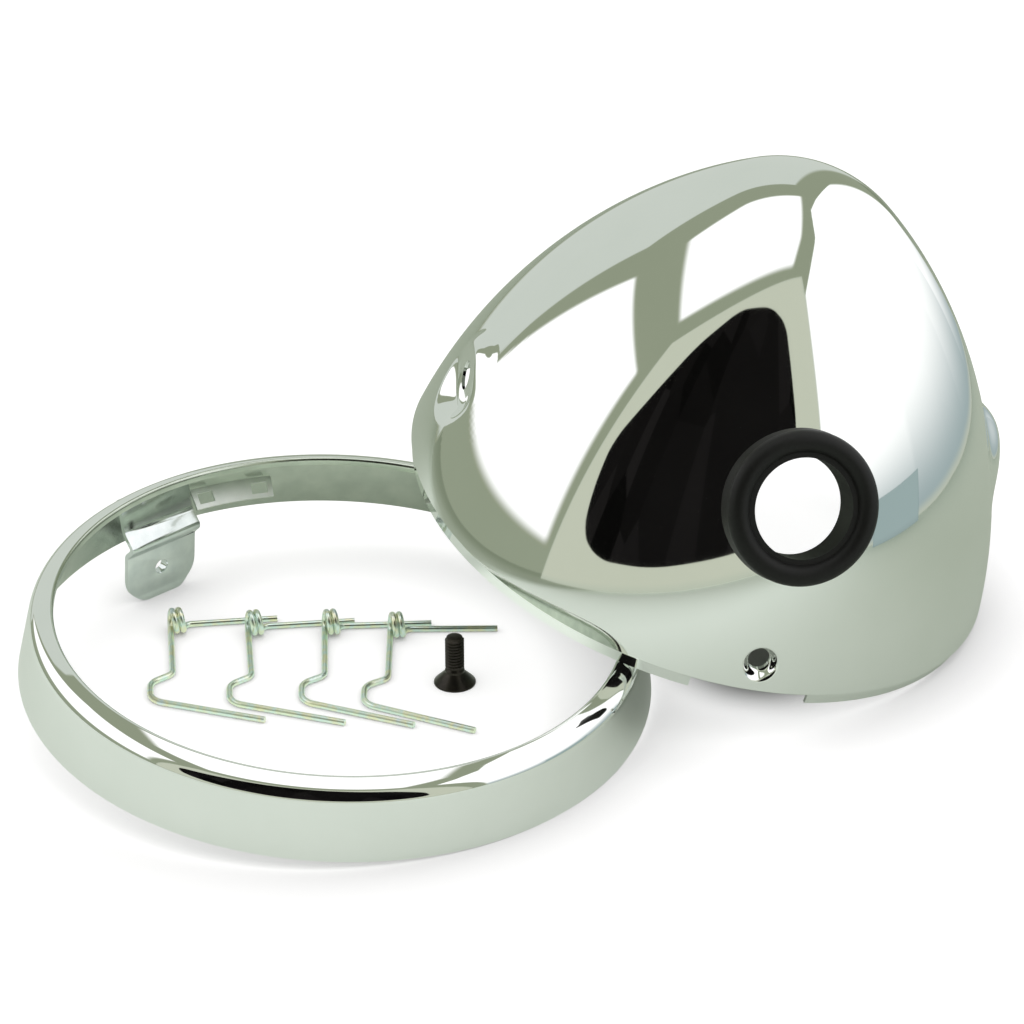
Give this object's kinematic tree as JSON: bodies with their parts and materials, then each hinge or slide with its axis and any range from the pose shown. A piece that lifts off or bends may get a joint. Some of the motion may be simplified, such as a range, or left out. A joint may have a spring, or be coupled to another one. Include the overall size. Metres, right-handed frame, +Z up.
{
  "type": "motorbike headlight housing",
  "caption": "Chromed bullet-shaped headlight shell with a cable grommet, leaning on its separate rim, with the rim's bracket, wire retaining clips and countersunk screw laid out with it.",
  "frame": {"origin": "on the floor under the middle of the whole layout", "axes": "+Z up, +Y away from the viewer of the picture, +X to the viewer's right, from the rim towards the shell"},
  "size_m": [0.3022, 0.2544, 0.1485],
  "materials": {
    "shell_chrome": "mirror",
    "rim_chrome": "mirror",
    "grommet_rubber": "satin",
    "bracket_zinc": "bright zinc",
    "screw_black": "black oxide",
    "clip_zinc": "yellow passivated zinc"
  },
  "bodies": {
    "root": {"headlight_shell": "shell_chrome", "cable_grommet": "grommet_rubber", "rim": "rim_chrome", "rim_bracket": "bracket_zinc", "rim_screw": "screw_black", "rim_clip_1": "clip_zinc", "rim_clip_2": "clip_zinc", "rim_clip_3": "clip_zinc", "rim_clip_4": "clip_zinc"}
  },
  "joints": []
}
